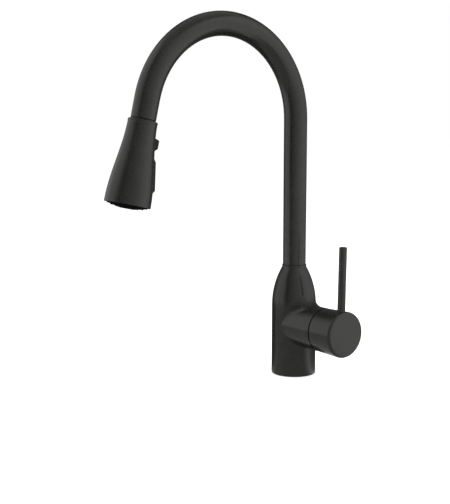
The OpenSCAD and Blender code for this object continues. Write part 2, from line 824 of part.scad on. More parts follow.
module face_ring() {
    r_out = bell_r(face_ring_t) - head_wall - seat_fit;
    r_in = face_r + seat_fit;
    color(DARK) on_head() rotate_extrude() polygon([
        [r_in, face_ring_t], [r_out, face_ring_t], [r_out, head_t1],
        [r_in + 0.6, head_t1 + face_ring_proud], [r_in, head_t1 + face_ring_proud]
    ]);
}

// Places children at each nozzle, on the face's dome
module at_nozzles() {
    for (k = [0, 1]) {
        ring_r = aerator_r + 3 + k * nozzle_ring_gap;
        rise = sqrt(face_dome_r * face_dome_r - ring_r * ring_r) - (face_dome_r - face_dome_h);
        for (i = [0:nozzle_counts[k] - 1]) rotate([0, 0, 360 * i / nozzle_counts[k]])
            translate([ring_r, 0, face_edge_t + rise]) children();
    }
}

module spray_face() {
    centre = [0, head_t1 + face_proud - face_dome_r];
    edge_a = acos(face_r / face_dome_r);
    hole_a = acos((aerator_r + seat_fit) / face_dome_r);
    back_t = face_edge_t - face_plate_h;
    color(RUBBER) on_head() union() {
        rotate_extrude() polygon(concat(
            [[aerator_r + seat_fit, back_t], [face_r, back_t]],
            arc(centre, face_dome_r, edge_a, hole_a, 8)
        ));
        at_nozzles() translate([0, 0, -1]) cylinder(r1 = 1, r2 = 0.7, h = nozzle_h + 1, $fn = 16);
    }
}

module aerator() {
    end_t = head_t1 + face_proud;
    color(DARK) on_head() difference() {
        rod(aerator_r, core_flange_t + core_flange_h, end_t);
        for (r = [2, 4.2, 6.4]) pipe(r + 0.8, r - 0.4, end_t - 1.6, end_t + 1);
    }
}

// Buttons follow the bell: an outer line turned about the head's axis and cut to their width
module button_blank(outline, inner_y) {
    intersection() {
        rotate_extrude() polygon(outline);
        translate([-button_w / 2, -head_rim_r - blank_margin, head_t0])
            cube([button_w, head_rim_r + blank_margin + inner_y, head_len]);
    }
}

module pause_button() {
    top_r = bell_r((pause_t0 + pause_t1) / 2) + pause_proud;
    inner_y = core_flat_y - pause_travel - 0.7;
    color(DARK) on_head() union() {
        button_blank([
            [5, pause_t0], [top_r - pause_proud, pause_t0], [top_r - 0.8, pause_t0 + 0.9],
            [top_r, pause_t0 + 2], [top_r, pause_t1 - 4.4], [top_r - 0.6, pause_t1 - 3.4],
            [top_r - pause_proud, pause_t1], [5, pause_t1]
        ], inner_y);
        on_plunger() rod(plunger_r, -plunger_y, -inner_y + 1);
    }
}

module mode_rocker() {
    inner_y = rocker_pin_y - 0.1;
    top_t = rocker_t0 + button_ramp;
    low_t = rocker_t1 - button_ramp;
    color(DARK) on_head() difference() {
        union() {
            button_blank([
                [5, rocker_t0], [bell_r(rocker_t0), rocker_t0],
                [bell_r(top_t) + rocker_proud_top, top_t], [bell_r(low_t) + rocker_proud_low, low_t],
                [bell_r(rocker_t1), rocker_t1], [5, rocker_t1]
            ], inner_y);
            on_rocker_pin() cylinder(r = rocker_boss_r, h = button_w, center = true);
        }
        on_rocker_pin() cylinder(r = rocker_pin_d / 2 + run_fit, h = button_w + 2, center = true);
    }
}

// Coil spring behind the pause button, swept along its helix
module pause_spring() {
    coil_r = plunger_r - spring_wire_r - 0.1;
    z0 = -plunger_floor_y + spring_wire_r;
    z1 = -plunger_y - spring_wire_r - 0.1;
    sides = 6;
    steps = spring_turns * 14;
    rise = (z1 - z0) / steps;
    points = [for (i = [0:steps]) for (j = [0:sides - 1])
        let (a = 360 * i / 14, b = 360 * j / sides, r = coil_r + spring_wire_r * cos(b))
        [r * cos(a), r * sin(a), z0 + rise * i + spring_wire_r * sin(b)]];
    rings = [for (i = [0:steps - 1]) for (j = [0:sides - 1])
        let (k = (j + 1) % sides)
        [i * sides + j, i * sides + k, (i + 1) * sides + k, (i + 1) * sides + j]];
    caps = [[for (j = [sides - 1:-1:0]) j], [for (j = [0:sides - 1]) steps * sides + j]];
    color(STEEL) on_head() on_plunger() polyhedron(points, concat(rings, caps));
}

// ---- Under the deck ----

module rubber_washer() {
    color(RUBBER) pipe(washer_d / 2, shank_r + 0.4, rubber_washer_z, -deck_t);
}

module steel_washer() {
    color(STEEL) pipe(washer_d / 2, shank_r + 0.4, steel_washer_z, rubber_washer_z);
}

module at_clamp_screws() for (s = [-1, 1]) translate([0, s * screw_ring_r, 0]) children();

module lock_nut() {
    color(BRASS) difference() {
        pipe(lock_nut_d / 2, shank_r + run_fit, lock_nut_z, steel_washer_z);
        at_clamp_screws() rod(clamp_screw_d / 2 + seat_fit, lock_nut_z - 1, steel_washer_z + 1);
    }
}

module clamp_screws() {
    head_h = 3.5;
    color(STEEL) at_clamp_screws() union() {
        rod(clamp_screw_d / 2, lock_nut_z - 3, steel_washer_z);
        translate([0, 0, lock_nut_z - 3 - head_h]) cylinder(r = clamp_screw_d * 0.8, h = head_h, $fn = 6);
    }
}

valve_body();
base_gasket();
mounting_shank();
inlet_block();
cartridge_base();
cartridge_seals();
cartridge_housing();
fixed_disc();
cartridge_nut();
bonnet();
swivel_bushes();
slip_washer();
lever_carrier();
stem_pin();
moving_disc();
disc_driver();
lever_stem();
handle_hub();
hub_set_screw();
set_screw_plug();
lever_rod();
gooseneck();
spout_stem();
swivel_oring();
retaining_ring();
dock_bush();
pull_hose();
hose_end_fitting();
head_shell();
head_top_ring();
inlet_spigot();
hose_ferrule();
inlet_washer();
check_valve();
valve_core();
rocker_pin();
face_ring();
spray_face();
aerator();
pause_spring();
pause_button();
mode_rocker();
rubber_washer();
steel_washer();
lock_nut();
clamp_screws();
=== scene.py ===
"""Looks of a single-lever kitchen faucet with a pull-down spray head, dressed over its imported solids."""

import logging
import math
from dataclasses import dataclass, field
from enum import Enum
from typing import Callable, ClassVar, Sequence

import bmesh
import bpy
from mathutils import Matrix, Vector


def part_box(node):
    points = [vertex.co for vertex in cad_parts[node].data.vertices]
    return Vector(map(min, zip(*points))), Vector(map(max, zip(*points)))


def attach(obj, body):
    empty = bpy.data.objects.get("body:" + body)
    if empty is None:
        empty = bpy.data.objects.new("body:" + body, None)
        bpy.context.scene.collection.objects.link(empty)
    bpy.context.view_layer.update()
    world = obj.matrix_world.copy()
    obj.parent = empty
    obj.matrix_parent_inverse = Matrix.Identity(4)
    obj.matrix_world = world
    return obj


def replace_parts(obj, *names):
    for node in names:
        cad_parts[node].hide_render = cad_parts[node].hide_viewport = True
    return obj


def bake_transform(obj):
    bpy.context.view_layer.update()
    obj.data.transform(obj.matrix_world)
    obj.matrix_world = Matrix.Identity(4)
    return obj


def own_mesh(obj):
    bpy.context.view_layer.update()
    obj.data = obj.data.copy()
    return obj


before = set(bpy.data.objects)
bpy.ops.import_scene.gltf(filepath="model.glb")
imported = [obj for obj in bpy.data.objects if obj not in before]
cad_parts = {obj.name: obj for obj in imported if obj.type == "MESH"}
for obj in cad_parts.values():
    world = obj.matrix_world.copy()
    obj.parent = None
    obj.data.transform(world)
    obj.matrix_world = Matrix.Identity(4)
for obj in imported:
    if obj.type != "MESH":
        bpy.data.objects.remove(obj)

LOG = logging.getLogger("faucet")
MM = 0.001
FULL_TURN = 2 * math.pi
SHARP_EDGE = 35.0

Colour = tuple[float, float, float]
Pairs = tuple[tuple[float, float], ...]
Socket = bpy.types.NodeSocket
Node = bpy.types.Node
Tree = bpy.types.ShaderNodeTree
Piece = bpy.types.Object
Ring = list[bmesh.types.BMVert]


def around(count: int, shift: float = 0.0) -> list[float]:
    """Returns evenly spaced angles round a full turn, moved on by a share of a step."""
    return [FULL_TURN * (i + shift) / count for i in range(count)]


def spoke(angle: float, radius: float, height: float) -> Vector:
    """Returns the point at an angle, a radius and a height round the upright axis."""
    return Vector((math.cos(angle), math.sin(angle), 0)) * radius + Vector((0, 0, height))


def placed(name: str, data: bpy.types.ID) -> Piece:
    """Puts new data in the scene.

    Args:
        name: the name of its object.
        data: a mesh, a camera or a lamp.

    Returns:
        The object.
    """
    item = bpy.data.objects.new(name, data)
    bpy.context.scene.collection.objects.link(item)
    return item


# ---- Shader building -------------------------------------------------------------------


class Graph:
    """A node tree with short calls that add nodes and join them."""

    def __init__(self, tree: bpy.types.NodeTree) -> None:
        """Starts on an emptied tree.

        Args:
            tree: the tree of a material, a world or a node group.
        """
        self.tree = tree
        tree.nodes.clear()

    @classmethod
    def of_material(cls, name: str) -> tuple[bpy.types.Material, "Graph"]:
        """Makes a material.

        Args:
            name: its name.

        Returns:
            The material and the graph of its emptied tree.
        """
        made = bpy.data.materials.new(name)
        made.use_nodes = True
        return made, cls(made.node_tree)

    def add(self, kind: str, **settings: object) -> Node:
        """Adds a node.

        Args:
            kind: the node's Blender type.
            **settings: attributes of the node, such as operation="MULTIPLY".

        Returns:
            The new node.
        """
        node = self.tree.nodes.new(kind)
        for name, value in settings.items():
            setattr(node, name, value)
        return node

    def join(self, source: Socket, target: Socket) -> None:
        """Links two sockets."""
        self.tree.links.new(source, target)

    def feed(self, target: Socket, value: object) -> None:
        """Puts a number, a colour or another node's output into an input.

        Args:
            target: the input.
            value: an output to link, or a constant.
        """
        if isinstance(value, Socket):
            self.join(value, target)
        elif isinstance(value, tuple) and len(value) == 3 and target.type == "RGBA":
            target.default_value = (*value, 1.0)
        else:
            target.default_value = value

    def show(self, shader: Node, kind: str = "ShaderNodeOutputMaterial") -> None:
        """Joins a shader to a new output node of this kind."""
        self.join(shader.outputs[0], self.add(kind).inputs["Surface"])

    def where(self) -> Socket:
        """Returns the place on the object, in metres."""
        return self.add("ShaderNodeTexCoord").outputs["Object"]

    def split(self, vector: Socket) -> Node:
        """Adds a node that splits a vector.

        Args:
            vector: the output to split.

        Returns:
            The node, with outputs X, Y and Z.
        """
        node = self.add("ShaderNodeSeparateXYZ")
        self.join(vector, node.inputs[0])
        return node

    def math(self, operation: str, *values: object, clamp: bool = False) -> Socket:
        """Adds a Math node.

        Args:
            operation: its operation.
            *values: numbers or outputs, in order.
            clamp: keeps the result from 0 to 1.

        Returns:
            The result's socket.
        """
        node = self.add("ShaderNodeMath", operation=operation, use_clamp=clamp)
        for socket, value in zip(node.inputs, values):
            self.feed(socket, value)
        return node.outputs[0]

    def spread(self, value: object, low: float, high: float, to_low: float = 0.0,
               to_high: float = 1.0) -> Socket:
        """Adds a smooth Map Range node.

        Args:
            value: the number or output to map.
            low: where the range starts.
            high: where it ends.
            to_low: the result at low.
            to_high: the result at high.

        Returns:
            The result's socket.
        """
        node = self.add("ShaderNodeMapRange", interpolation_type="SMOOTHSTEP")
        labels = ("Value", "From Min", "From Max", "To Min", "To Max")
        for label, number in zip(labels, (value, low, high, to_low, to_high)):
            self.feed(node.inputs[label], number)
        return node.outputs["Result"]

    def noise(self, where: Socket, scale: float, detail: float = 3.0, rough: float = 0.55) -> Socket:
        """Adds a noise texture.

        Args:
            where: the coordinates.
            scale: features for each metre.
            detail: octaves.
            rough: weight of the fine octaves.

        Returns:
            Its value, about 0.5 on average.
        """
        node = self.add("ShaderNodeTexNoise")
        self.join(where, node.inputs["Vector"])
        for name, number in (("Scale", scale), ("Detail", detail), ("Roughness", rough)):
            node.inputs[name].default_value = number
        return node.outputs["Fac"]

    def blend(self, share: object, first: object, second: object) -> Socket:
        """Mixes two colours.

        Args:
            share: how much of the second, from 0 to 1.
            first: a colour or an output.
            second: a colour or an output.

        Returns:
            The mixed colour's socket.
        """
        node = self.add("ShaderNodeMix", data_type="RGBA")
        colours = [s for s in node.inputs if s.type == "RGBA"]
        for socket, value in zip((node.inputs[0], *colours), (share, first, second)):
            self.feed(socket, value)
        return next(s for s in node.outputs if s.type == "RGBA")

    def seen(self) -> Socket:
        """Adds a test of the ray.

        Returns:
            The socket that is 1 for rays of the camera, reflections and refractions, or else 0.
        """
        path = self.add("ShaderNodeLightPath")
        direct = self.math("ADD", path.outputs["Is Camera Ray"], path.outputs["Is Glossy Ray"])
        return self.math("ADD", direct, path.outputs["Is Transmission Ray"], clamp=True)


class Effects:
    """Shared shader groups, each built once and placed in many finishes.

    The scales count the features for each metre. EDGE_START is the pointiness where an edge
    begins, a little over the half that a flat face has.
    """

    FINE_SCALE: ClassVar[float] = 2600.0
    BROAD_SCALE: ClassVar[float] = 260.0
    MOTTLE_SCALE: ClassVar[float] = 38.0
    SPECKLE_SCALE: ClassVar[float] = 820.0
    PATCH_SCALE: ClassVar[float] = 90.0
    TOOL_SCALE: ClassVar[float] = 3800.0
    EDGE_START: ClassVar[float] = 0.52
    PATCH_RANGE: ClassVar[tuple[float, float]] = (0.42, 0.66)

    _built: ClassVar[dict[str, Tree]] = {}

    @classmethod
    def _group(cls, name: str, inputs: Sequence[tuple[str, float]], outputs: Sequence[str],
               body: Callable[[Graph, Node, Node], None]) -> Tree:
        """Builds a group, or returns the one that is there.

        Args:
            name: the group's name.
            inputs: names and default values of its number inputs.
            outputs: names of its outputs.
            body: adds the nodes between the group's input and output nodes.

        Returns:
            The group's tree.
        """
        if name not in cls._built:
            tree = bpy.data.node_groups.new(name, "ShaderNodeTree")
            for label, default in inputs:
                socket = tree.interface.new_socket(label, in_out="INPUT", socket_type="NodeSocketFloat")
                socket.default_value = default
            for label in outputs:
                tree.interface.new_socket(label, in_out="OUTPUT", socket_type="NodeSocketFloat")
            graph = Graph(tree)
            body(graph, graph.add("NodeGroupInput"), graph.add("NodeGroupOutput"))
            cls._built[name] = tree
        return cls._built[name]

    @classmethod
    def place(cls, graph: Graph, tree: Tree, **values: float) -> Node:
        """Places a group in a material.

        Args:
            graph: the material's graph.
            tree: the group's tree.
            **values: numbers for its inputs, whose names start with a capital.

        Returns:
            The group node.
        """
        node = graph.add("ShaderNodeGroup")
        node.node_tree = tree
        for name, value in values.items():
            node.inputs[name.capitalize()].default_value = value
        return node

    @classmethod
    def _wear_nodes(cls, graph: Graph, given: Node, out: Node) -> None:
        """Turns the surface's pointiness into a patchy mask.

        Args:
            graph: the group's graph.
            given: its input node.
            out: its output node.
        """
        point = graph.add("ShaderNodeNewGeometry").outputs["Pointiness"]
        sharp = graph.math("SUBTRACT", point, cls.EDGE_START, clamp=True)
        sharp = graph.math("MULTIPLY", sharp, given.outputs["Width"], clamp=True)
        patch = graph.spread(graph.noise(graph.where(), cls.PATCH_SCALE), *cls.PATCH_RANGE)
        kept = graph.math("MULTIPLY", graph.math("SUBTRACT", patch, 1.0), given.outputs["Patchiness"])
        mask = graph.math("MULTIPLY", sharp, graph.math("ADD", kept, 1.0, clamp=True), clamp=True)
        graph.join(mask, out.inputs["Mask"])

    @classmethod
    def edge_wear(cls) -> Tree:
        """Returns the group that marks rubbed edges: Mask from Width and Patchiness."""
        return cls._group("Edge wear", (("Width", 12.0), ("Patchiness", 0.7)), ("Mask",), cls._wear_nodes)

    @classmethod
    def _grain_nodes(cls, graph: Graph, given: Node, out: Node) -> None:
        """Mixes a fine and a broad noise, and adds two that vary the colour.

        Args:
            graph: the group's graph.
            given: its input node.
            out: its output node.
        """
        place = graph.where()
        fine = graph.noise(place, cls.FINE_SCALE, 2.0)
        broad = graph.noise(place, cls.BROAD_SCALE, 3.0)
        height = graph.math("ADD", graph.math("MULTIPLY", fine, given.outputs["Fine"]),
                            graph.math("MULTIPLY", broad, given.outputs["Broad"]))
        graph.join(height, out.inputs["Height"])
        graph.join(graph.noise(place, cls.MOTTLE_SCALE, 4.0), out.inputs["Mottle"])
        graph.join(graph.noise(place, cls.SPECKLE_SCALE, 2.0), out.inputs["Speckle"])

    @classmethod
    def grain(cls) -> Tree:
        """Returns the group for the grain of a surface: Height, Mottle and Speckle from Fine and Broad."""
        return cls._group("Grain", (("Fine", 1.0), ("Broad", 0.4)), ("Height", "Mottle", "Speckle"),
                          cls._grain_nodes)

    @classmethod
    def _turning_nodes(cls, graph: Graph, given: Node, out: Node) -> None:
        """Stretches a noise round the upright axis.

        Args:
            graph: the group's graph.
            given: its input node.
            out: its output node.
        """
        split = graph.split(graph.where())
        squares = [graph.math("MULTIPLY", split.outputs[axis], split.outputs[axis]) for axis in "XY"]
        line = graph.add("ShaderNodeCombineXYZ")
        graph.join(graph.math("SQRT", graph.math("ADD", *squares)), line.inputs["X"])
        graph.join(split.outputs["Z"], line.inputs["Z"])
        marks = graph.noise(line.outputs[0], cls.TOOL_SCALE, 2.0)
        graph.join(graph.math("MULTIPLY", marks, given.outputs["Depth"]), out.inputs["Height"])

    @classmethod
    def turning(cls) -> Tree:
        """Returns the group for tool marks that run round a turned piece: Height from Depth."""
        return cls._group("Turning marks", (("Depth", 1.0),), ("Height",), cls._turning_nodes)


# ---- Finishes --------------------------------------------------------------------------


@dataclass(frozen=True)
class Finish:
    """A finish with what every material shares: a speckled base, a fine relief and rubbed edges.

    Mottle is how far the roughness varies, relief is the bump's height in metres, and speckle is
    how much darker the specks of the coat are.
    """

    name: str
    base: Colour
    worn: Colour
    roughness: float
    mottle: float = 0.05
    metallic: float = 0.0
    ior: float = 1.5
    relief: float = 0.00002
    wear: float = 0.2
    fine: float = 1.0
    broad: float = 0.4
    sheen: float = 0.0
    speckle: float = 0.1
    gloss: float = 0.5

    MOTTLE_RANGE: ClassVar[tuple[float, float]] = (0.3, 0.7)
    MOTTLE_SHARE: ClassVar[float] = 0.6
    SPECKLE_RANGE: ClassVar[tuple[float, float]] = (0.30, 0.60)
    LIGHTER_TIMES: ClassVar[float] = 1.35
    LIGHTER_PLUS: ClassVar[float] = 0.002
    WORN_POLISH: ClassVar[float] = 0.12
    SHEEN_ROUGHNESS: ClassVar[float] = 0.4

    def height(self, graph: Graph, grain: Node) -> Socket:
        """Returns the height that the bump follows; a plain finish has only its grain."""
        return grain.outputs["Height"]

    def tint(self, graph: Graph, colour: Socket) -> Socket:
        """Returns the base colour; a finish with a pattern of its own changes it."""
        return colour

    def _shade(self, graph: Graph, grain: Node) -> Socket:
        """Varies the base colour.

        Args:
            graph: the material's graph.
            grain: its grain group.

        Returns:
            The socket of the mottled and speckled base colour.
        """
        light = tuple(min(1.0, c * self.LIGHTER_TIMES + self.LIGHTER_PLUS) for c in self.base)
        deep = tuple(c * (1.0 - self.speckle) for c in self.base)
        broad = graph.spread(grain.outputs["Mottle"], *self.MOTTLE_RANGE, 0.0, self.MOTTLE_SHARE)
        specks = graph.spread(grain.outputs["Speckle"], *self.SPECKLE_RANGE, 1.0, 0.0)
        return graph.blend(specks, graph.blend(broad, self.base, light), deep)

    def material(self) -> bpy.types.Material:
        """Builds the material, or returns the one that is there.

        Returns:
            The material of this finish.
        """
        found = bpy.data.materials.get(self.name)
        if found:
            return found
        made, graph = Graph.of_material(self.name)
        shader = graph.add("ShaderNodeBsdfPrincipled")
        constants = {"IOR": self.ior, "Metallic": self.metallic, "Specular IOR Level": self.gloss}
        if self.sheen:
            constants |= {"Sheen Weight": self.sheen, "Sheen Roughness": self.SHEEN_ROUGHNESS}
        for label, number in constants.items():
            shader.inputs[label].default_value = number
        grain = Effects.place(graph, Effects.grain(), fine=self.fine, broad=self.broad)
        edge = Effects.place(graph, Effects.edge_wear())
        worn = graph.math("MULTIPLY", edge.outputs["Mask"], self.wear)
        colour = graph.blend(worn, self._shade(graph, grain), self.worn)
        graph.join(self.tint(graph, colour), shader.inputs["Base Color"])
        rough = graph.spread(grain.outputs["Mottle"], *self.MOTTLE_RANGE, self.roughness - self.mottle,
                             self.roughness + self.mottle)
        polish = graph.math("MULTIPLY", worn, self.WORN_POLISH)
        graph.join(graph.math("SUBTRACT", rough, polish, clamp=True), shader.inputs["Roughness"])
        bump = graph.add("ShaderNodeBump")
        bump.inputs["Strength"].default_value = 1.0
        bump.inputs["Distance"].default_value = self.relief
        graph.join(self.height(graph, grain), bump.inputs["Height"])
        graph.join(bump.outputs["Normal"], shader.inputs["Normal"])
        graph.show(shader)
        return made


@dataclass(frozen=True)
class TurnedMetal(Finish):
    """Bare metal with the marks of the lathe round its upright axis."""

    mark_depth: float = 0.8
    grain_share: float = 0.4

    def height(self, graph: Graph, grain: Node) -> Socket:
        """Adds the turning marks to the grain.

        Args:
            graph: the material's graph.
            grain: its grain group.

        Returns:
            The height's socket.
        """
        marks = Effects.place(graph, Effects.turning(), depth=self.mark_depth)
        fine = graph.math("MULTIPLY", grain.outputs["Height"], self.grain_share)
        return graph.math("ADD", fine, marks.outputs["Height"])


@dataclass(frozen=True)
class Braid(Finish):
    """A sleeve braided from flat bundles of yarn that cross at an angle."""

    pitch: float = 0.0042
    strands: int = 12
    yarn_share: float = 0.15
    gap: Colour = (0.004, 0.004, 0.004)
    gap_range: tuple[float, float] = (0.25, 0.7)

    def _crossing(self, graph: Graph) -> Socket:
        """Crosses two sets of bundles.

        Args:
            graph: the material's graph.

        Returns:
            The socket of the braid's height, from 0 in the gaps to 1 on the bundles.
        """
        split = graph.split(graph.add("ShaderNodeTexCoord").outputs["UV"])
        waves = []
        for turn in (1.0, -1.0):
            angle = graph.math("MULTIPLY", split.outputs["X"], FULL_TURN * self.strands * turn)
            run = graph.math("MULTIPLY", split.outputs["Y"], FULL_TURN / self.pitch)
            waves.append(graph.math("SINE", graph.math("ADD", angle, run)))
        return graph.math("MULTIPLY_ADD", graph.math("MAXIMUM", *waves), 0.5, 0.5)

    def height(self, graph: Graph, grain: Node) -> Socket:
        """Returns the braid's relief with the yarn's own grain on it."""
        yarn = graph.math("MULTIPLY", grain.outputs["Height"], self.yarn_share)
        return graph.math("ADD", self._crossing(graph), yarn)

    def tint(self, graph: Graph, colour: Socket) -> Socket:
        """Returns the colour, darker in the gaps between the bundles."""
        return graph.blend(graph.spread(self._crossing(graph), *self.gap_range), self.gap, colour)


class Finishes(Enum):
    """Every finish of the faucet."""

    SATIN_BLACK = Finish("Satin black coat", (0.0128, 0.0124, 0.0106), (0.04, 0.039, 0.036), 0.21,
                         mottle=0.02, relief=0.0000035, wear=0.25, speckle=0.6)
    DARK_TRIM = Finish("Dark moulded trim", (0.0088, 0.0087, 0.0088), (0.02, 0.02, 0.02), 0.38,
                       ior=1.32, relief=0.000008, gloss=0.4, speckle=0.35)
    SEAL_RUBBER = Finish("Seal rubber", (0.012, 0.012, 0.012), (0.03, 0.03, 0.03), 0.62,
                         ior=1.45, relief=0.00003, broad=0.8, speckle=0.3)
    # Black rubber, darkened past its own colour into painted shade on the downward spray face, with its
    # reflection turned down as well.
    NOZZLE_RUBBER_AND_PAINTED_SHADE = Finish("Nozzle rubber with painted shade", (0.0035, 0.0035, 0.0037), (0.010, 0.010, 0.010), 0.60,
                           ior=1.14, relief=0.00001, broad=0.6, gloss=0.1, speckle=0.3)
    BRASS = TurnedMetal("Turned brass", (0.62, 0.42, 0.16), (0.85, 0.68, 0.38), 0.30,
                        metallic=1.0, relief=0.00001, wear=0.5)
    STEEL = TurnedMetal("Drawn steel", (0.50, 0.50, 0.51), (0.72, 0.72, 0.73), 0.28,
                        metallic=1.0, relief=0.00001, wear=0.4)
    WHITE_PLASTIC = Finish("Natural acetal", (0.66, 0.65, 0.61), (0.8, 0.8, 0.78), 0.42, relief=0.00001)
    CERAMIC = Finish("Lapped ceramic", (0.80, 0.78, 0.73), (0.9, 0.9, 0.88), 0.12,
                     ior=1.75, relief=0.000002, wear=0.0)
    SLEEVE = Braid("Braided sleeve", (0.020, 0.020, 0.021), (0.05, 0.05, 0.05), 0.55,
                   relief=0.00035, wear=0.1, sheen=0.2)

    def dress(self, item: Piece) -> None:
        """Gives an object this finish."""
        item.data.materials.clear()
        item.data.materials.append(self.value.material())


# ---- Solids that stay ------------------------------------------------------------------


@dataclass
class CarriedSolids:
    """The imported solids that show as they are, and the finish of each."""

    groups: dict[Finishes, tuple[str, ...]] = field(default_factory=lambda: {
        Finishes.SATIN_BLACK: (
            "valve_body", "bonnet", "handle_hub", "lever_rod", "gooseneck", "head_shell", "head_top_ring"),
        Finishes.DARK_TRIM: (
            "slip_washer", "set_screw_plug", "dock_bush", "aerator", "pause_button", "mode_rocker",
            "valve_core"),
        Finishes.SEAL_RUBBER: (
            "base_gasket", "cartridge_seals", "swivel_oring", "inlet_washer", "rubber_washer"),
        # The face ring and spray face take the rubber that is darkened as painted shade.
        Finishes.NOZZLE_RUBBER_AND_PAINTED_SHADE: ("face_ring", "spray_face"),
        Finishes.BRASS: (
            "mounting_shank", "inlet_block", "cartridge_nut", "spout_stem", "hose_end_fitting",
            "hose_ferrule", "lock_nut"),
        Finishes.STEEL: (
            "stem_pin", "lever_stem", "hub_set_screw", "retaining_ring", "rocker_pin", "pause_spring",
            "steel_washer", "clamp_screws"),
        Finishes.WHITE_PLASTIC: (
            "cartridge_base", "cartridge_housing", "swivel_bushes", "lever_carrier", "disc_driver",
            "inlet_spigot", "check_valve"),
        Finishes.CERAMIC: ("fixed_disc", "moving_disc"),
        Finishes.SLEEVE: ("pull_hose",),
    })

    def build(self) -> None:
        """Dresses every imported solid."""
        dressed = set()
        for finish, names in self.groups.items():
            for name in names:
                finish.dress(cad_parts[name])
                dressed.add(name)
            LOG.info("%s on %s", finish.value.name, ", ".join(names))
        bare = sorted(set(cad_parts) - dressed)
        if bare:
            raise ValueError(f"no finish for {bare}")


# ---- Shapes ----------------------------------------------------------------------------


class Skin:
    """A mesh in the making, with the moves that the faucet's own pieces share."""

    def __init__(self, name: str) -> None:
        """Starts an empty skin.

        Args:
            name: the name of the piece it becomes.
        """
        self.name = name
        self.bm = bmesh.new()

    def ring(self, points: Sequence[Vector]) -> Ring:
        """Adds one ring of points."""
        return [self.bm.verts.new(p) for p in points]

    def bridge(self, first: Ring, second: Ring) -> None:
        """Joins two rings with a band of faces.

        Args:
            first: a ring.
            second: a ring with as many points.
        """
        count = len(first)
        for i in range(count):
            j = (i + 1) % count
            self.bm.faces.new((first[i], first[j], second[j], second[i]))

    def wrap(self, rings: Sequence[Ring], closed: bool = False) -> None:
        """Joins each ring with the next.

        Args:
            rings: the rings in order.
            closed: joins the last to the first.
        """
        for first, second in zip(rings, list(rings[1:]) + (list(rings[:1]) if closed else [])):
            self.bridge(first, second)

    def turn(self, outline: Sequence[tuple[float, float]], sides: int, place: Matrix,
             closed: bool = True) -> None:
        """Turns an outline round an axis.

        Args:
            outline: pairs of radius and height, in metres; a radius of 0 closes the skin there.
            sides: number of points round the axis.
            place: puts the axis, which is upright in the outline's own frame, in the faucet's frame.
            closed: joins the last pair to the first.
        """
        rings: list[Ring] = []
        for radius, height in outline:
            if radius == 0.0:
                rings.append([self.bm.verts.new(place @ Vector((0, 0, height)))])
            else:
                rings.append(self.ring([place @ Vector((radius * math.cos(a), radius * math.sin(a), height))
                                        for a in around(sides)]))
        pairs = list(zip(rings, rings[1:])) + ([(rings[-1], rings[0])] if closed else [])
        for low, high in pairs:
            if len(low) == 1 or len(high) == 1:
                tip, rim = (low[0], high) if len(low) == 1 else (high[0], low)
                for i in range(len(rim)):
                    self.bm.faces.new((tip, rim[i], rim[(i + 1) % len(rim)]))
            else:
                self.bridge(low, high)

    def mesh(self) -> bpy.types.Mesh:
        """Ends the skin.

        Returns:
            Its mesh, with every face turned outwards.
        """
        bmesh.ops.recalc_face_normals(self.bm, faces=self.bm.faces)
        mesh = bpy.data.meshes.new(self.name)
        self.bm.to_mesh(mesh)
        self.bm.free()
        return mesh

    def done(self, finish: Finishes, body: str, sharp: float = SHARP_EDGE) -> Piece:
        """Turns the skin into a dressed piece.

        Args:
            finish: its finish.
            body: the moving body it rides on, or "" for a piece that gets its body later or none.
            sharp: angle in degrees over which an edge stays sharp.

        Returns:
            The piece.
        """
        mesh = self.mesh()
        mesh.shade_smooth()
        mesh.set_sharp_from_angle(angle=math.radians(sharp))
        piece = placed(self.name, mesh)
        finish.dress(piece)
        if body:
            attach(piece, body)
        LOG.info("%s: %d faces", self.name, len(mesh.polygons))
        return piece


# ---- Pieces under the deck -------------------------------------------------------------


@dataclass
class ThreadedShank:
    """The brass tube that holds the faucet down, with the thread that its nut runs on.

    The flank's gain and start shape the thread: a gain over 1 leaves a flat root, and the start
    leaves a flat crest.
    """

    radius: float = 16.5 * MM
    bore: float = 14.5 * MM
    seat_radius: float = 16.0 * MM
    seat: float = 12.0 * MM
    plain: float = 38.0 * MM
    length: float = 62.0 * MM
    pitch: float = 1.5 * MM
    depth: float = 0.8 * MM
    flank_gain: float = 1.25
    flank_start: float = 0.1
    run_out: float = 1.2 * MM
    chamfer: float = 1.0 * MM
    sides: int = 64
    cuts: int = 10

    def _thread_radius(self, height: float, turn: float) -> float:
        """Reads the thread.

        Args:
            height: the height on the shank, in metres.
            turn: the share of a turn round the axis.

        Returns:
            The thread's radius there.
        """
        share = (height / self.pitch - turn) % 1.0
        flank = min(1.0, max(0.0, self.flank_gain * (1.0 - abs(2.0 * share - 1.0)) - self.flank_start))
        fade = min(1.0, (-self.plain - height) / self.pitch,
                   (height + self.length - self.run_out) / self.pitch)
        return self.radius - self.depth * flank * max(0.0, fade)

    def build(self) -> None:
        """Makes the shank."""
        skin = Skin("threaded_shank")
        low = -self.length + self.chamfer
        count = int((-self.plain - low) / self.pitch * self.cuts)
        top = ((self.seat, self.bore), (self.seat, self.seat_radius), (0.0, self.seat_radius),
               (0.0, self.radius), (-self.plain, self.radius))
        thread = tuple((-self.plain + (low + self.plain) * i / count, None) for i in range(1, count + 1))
        foot = ((-self.length, self.radius - self.chamfer), (-self.length, self.bore))
        skin.wrap([skin.ring([spoke(a, radius or self._thread_radius(height, a / FULL_TURN), height)
                              for a in around(self.sides)])
                   for height, radius in top + thread + foot], closed=True)
        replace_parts(skin.done(Finishes.BRASS, "base"), "mounting_shank")


